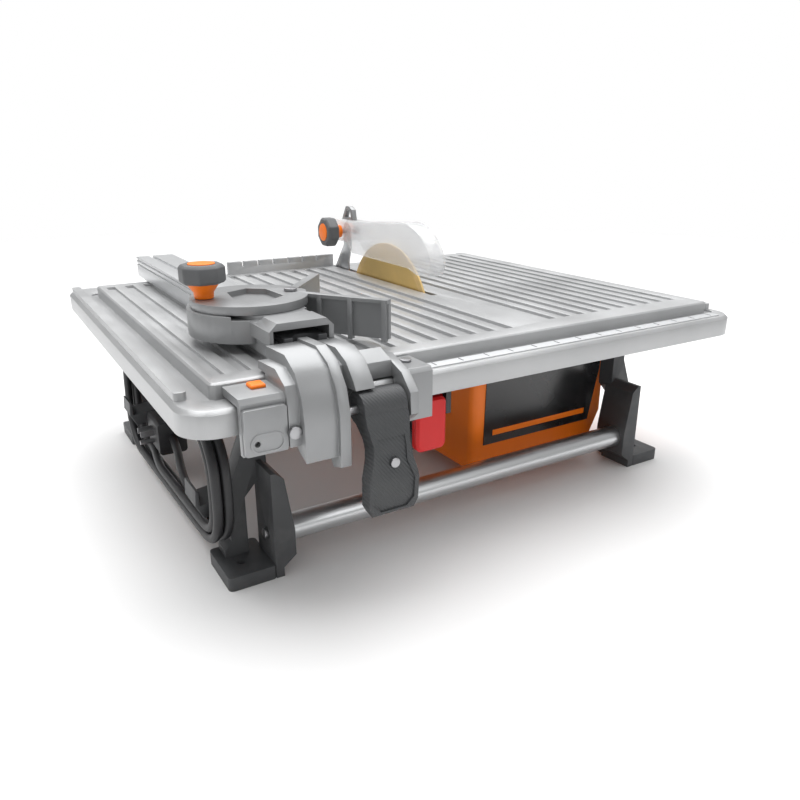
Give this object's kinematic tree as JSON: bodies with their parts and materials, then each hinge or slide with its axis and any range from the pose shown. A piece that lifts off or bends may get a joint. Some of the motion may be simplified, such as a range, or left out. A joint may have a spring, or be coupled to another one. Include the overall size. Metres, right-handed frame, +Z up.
{
  "type": "table-top wet tile cutter",
  "caption": "Table-top wet tile cutter: ribbed table on a tube frame, diamond blade in a water tub, clear guard, sliding rip fence and miter guide.",
  "frame": {"origin": "middle of the four foot holes, on the bench", "axes": "+X to the user's right, +Y from the user to the back along the cut, +Z up"},
  "size_m": [0.56, 0.534, 0.2595],
  "materials": {
    "table_cast": "silver grey paint on a casting",
    "scale": "brushed strip",
    "frame_grey": "charcoal, moulded",
    "tube_steel": "satin",
    "zinc_screw": "bright zinc",
    "orange_plastic": "moulded orange",
    "black_plastic": "black",
    "label_black": "printed panel",
    "motor_steel": "laminated",
    "copper": "windings",
    "bearing_steel": "ground",
    "blade_steel": "gold tinted",
    "diamond_rim": "sintered",
    "clear_guard": "clear polycarbonate",
    "light_cast": "silver grey paint",
    "extrusion": "anodised",
    "lever_plastic": "textured charcoal",
    "red_plastic": "moulded red",
    "knob_grey": "soft grip",
    "cord_rubber": "jacket",
    "rubber": "moulded"
  },
  "bodies": {
    "frame": {"table_top": "table_cast", "front_scale": "scale", "left_side_frame": "frame_grey", "right_side_frame": "frame_grey", "front_tube": "tube_steel", "rear_tube": "tube_steel", "tube_bolts": "zinc_screw", "tube_plugs": "black_plastic", "frame_screws": "zinc_screw", "cord_hook_front": "frame_grey", "cord_hook_rear": "frame_grey", "cord_coil": "cord_rubber", "cord_gland": "rubber", "cord_lead": "cord_rubber", "cord_tail": "cord_rubber", "cord_plug": "black_plastic", "plug_blades": "zinc_screw", "blade_housing": "orange_plastic", "splash_wall": "black_plastic", "label_plate": "label_black", "label_stripe": "orange_plastic", "motor_can": "black_plastic", "motor_stator": "copper", "arbor_bearings": "bearing_steel", "riving_knife": "tube_steel", "knife_block": "black_plastic", "guard_pin": "zinc_screw", "switch_box": "black_plastic", "switch_button": "frame_grey"},
    "arbor": {"arbor_shaft": "bearing_steel", "motor_rotor": "motor_steel", "blade_flanges": "bearing_steel", "arbor_nut": "zinc_screw", "blade_core": "blade_steel", "blade_rim": "diamond_rim"},
    "guard": {"blade_guard": "clear_guard", "guard_loop": "light_cast"},
    "guard_knob": {"guard_knob_neck": "orange_plastic", "guard_knob_grip": "knob_grey", "guard_knob_cap": "orange_plastic"},
    "drain": {"drain_plug": "rubber"},
    "switch": {"switch_paddle": "red_plastic"},
    "fence": {"fence_bar": "extrusion", "fence_feet": "rubber", "fence_head": "light_cast", "fence_front_plate": "light_cast", "fence_window": "orange_plastic", "fence_tongue": "frame_grey", "fence_screws": "zinc_screw", "lever_pin": "zinc_screw"},
    "lock_lever": {"lock_lever": "lever_plastic", "lever_screw": "zinc_screw"},
    "miter_slide": {"miter_base": "light_cast"},
    "miter_head": {"miter_head": "light_cast", "miter_pivot": "zinc_screw"},
    "miter_knob": {"miter_knob_neck": "orange_plastic", "miter_knob_grip": "knob_grey", "miter_knob_cap": "orange_plastic", "miter_stud": "zinc_screw"}
  },
  "joints": [
    {"name": "arbor_spin", "type": "hinge", "parent": "frame", "child": "arbor", "pos_m": [0.045, 0.05, 0.135], "axis": [1, 0, 0], "continuous": true},
    {"name": "guard_lift", "type": "hinge", "parent": "frame", "child": "guard", "pos_m": [0.045, 0.151, 0.229], "axis": [-1, 0, 0], "range_deg": [0, 60]},
    {"name": "guard_knob_turn", "type": "hinge", "parent": "frame", "child": "guard_knob", "pos_m": [0.02, 0.151, 0.229], "axis": [1, 0, 0], "range_deg": [0, 360]},
    {"name": "drain_pull", "type": "slide", "parent": "frame", "child": "drain", "axis": [0, 1, 0], "range_m": [0, 0.012]},
    {"name": "switch_press", "type": "hinge", "parent": "frame", "child": "switch", "pos_m": [-0.074, -0.212, 0.134], "axis": [1, 0, 0], "range_deg": [0, 8], "stiffness_Nm_per_rad": 0.4, "springref_deg": -2.86},
    {"name": "fence_slide", "type": "slide", "parent": "frame", "child": "fence", "axis": [1, 0, 0], "range_m": [-0.02, 0.05]},
    {"name": "lever_lift", "type": "hinge", "parent": "fence", "child": "lock_lever", "pos_m": [-0.148, -0.2625, 0.158], "axis": [-1, 0, 0], "range_deg": [0, 70]},
    {"name": "miter_travel", "type": "slide", "parent": "fence", "child": "miter_slide", "axis": [0, 1, 0], "range_m": [0, 0.21]},
    {"name": "miter_turn", "type": "hinge", "parent": "miter_slide", "child": "miter_head", "pos_m": [-0.15, -0.12, 0.212], "axis": [0, 0, 1], "range_deg": [-20, 20]},
    {"name": "miter_knob_turn", "type": "hinge", "parent": "miter_head", "child": "miter_knob", "pos_m": [-0.221, -0.114, 0.23], "axis": [0, 0, 1], "range_deg": [0, 360]}
  ]
}
